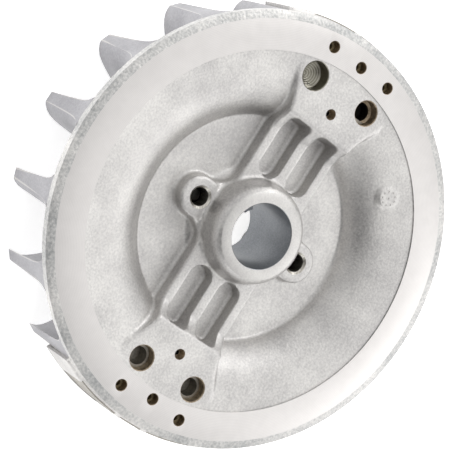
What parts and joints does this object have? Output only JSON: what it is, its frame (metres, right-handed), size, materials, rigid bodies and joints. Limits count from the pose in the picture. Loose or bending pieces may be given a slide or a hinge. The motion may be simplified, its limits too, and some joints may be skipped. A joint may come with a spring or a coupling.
{
  "type": "flywheel",
  "caption": "Round die-cast fan flywheel with a tapered hub bore, a magnet pack and a counterweight cast into its rim, and sprung starter pawls.",
  "frame": {"origin": "on the crankshaft axis, in the plane of the fan blade tips that the part stands on", "axes": "+Z along the crankshaft axis towards the engine, +X towards the magnet pack, +Y towards the first pawl"},
  "size_m": [0.0996, 0.098, 0.0254],
  "materials": {
    "cast_aluminium": "die-cast, with turned rim and hub faces",
    "silicon_steel": "ground edges of stamped laminations",
    "ferrite": "matt sintered magnet",
    "rivet_steel": "brown heat-stained steel",
    "pawl_steel": "sintered and oiled",
    "screw_steel": "zinc plated",
    "spring_wire": "drawn spring wire"
  },
  "bodies": {
    "rotor": {"rotor_casting": "cast_aluminium", "centre_pole_plate_1": "silicon_steel", "centre_pole_plate_2": "silicon_steel", "centre_pole_plate_3": "silicon_steel", "centre_pole_plate_4": "silicon_steel", "centre_pole_plate_5": "silicon_steel", "centre_pole_plate_6": "silicon_steel", "leading_pole_plate_1": "silicon_steel", "leading_pole_plate_2": "silicon_steel", "leading_pole_plate_3": "silicon_steel", "leading_pole_plate_4": "silicon_steel", "leading_pole_plate_5": "silicon_steel", "leading_pole_plate_6": "silicon_steel", "trailing_pole_plate_1": "silicon_steel", "trailing_pole_plate_2": "silicon_steel", "trailing_pole_plate_3": "silicon_steel", "trailing_pole_plate_4": "silicon_steel", "trailing_pole_plate_5": "silicon_steel", "trailing_pole_plate_6": "silicon_steel", "leading_magnet": "ferrite", "trailing_magnet": "ferrite", "pole_rivet_1": "rivet_steel", "pole_rivet_2": "rivet_steel", "pole_rivet_3": "rivet_steel", "counterweight_plate_1": "silicon_steel", "counterweight_plate_2": "silicon_steel", "counterweight_plate_3": "silicon_steel", "counterweight_plate_4": "silicon_steel", "counterweight_plate_5": "silicon_steel", "counterweight_plate_6": "silicon_steel", "counterweight_rivet_1": "rivet_steel", "counterweight_rivet_2": "rivet_steel", "counterweight_rivet_3": "rivet_steel", "pawl_screw_1": "screw_steel", "pawl_washer_1": "screw_steel", "pawl_screw_2": "screw_steel", "pawl_washer_2": "screw_steel"},
    "pawl_1": {"starter_pawl_1": "pawl_steel", "pawl_spring_1": "spring_wire"},
    "pawl_2": {"starter_pawl_2": "pawl_steel", "pawl_spring_2": "spring_wire"}
  },
  "joints": [
    {"name": "pawl_1_swing", "type": "hinge", "parent": "rotor", "child": "pawl_1", "pos_m": [0, 0.0147, 0.0052], "axis": [0, 0, -1], "range_deg": [0, 28], "stiffness_Nm_per_rad": 0.02, "springref_deg": -22.92},
    {"name": "pawl_2_swing", "type": "hinge", "parent": "rotor", "child": "pawl_2", "pos_m": [0, -0.0147, 0.0052], "axis": [0, 0, -1], "range_deg": [0, 28], "stiffness_Nm_per_rad": 0.02, "springref_deg": -22.92}
  ]
}
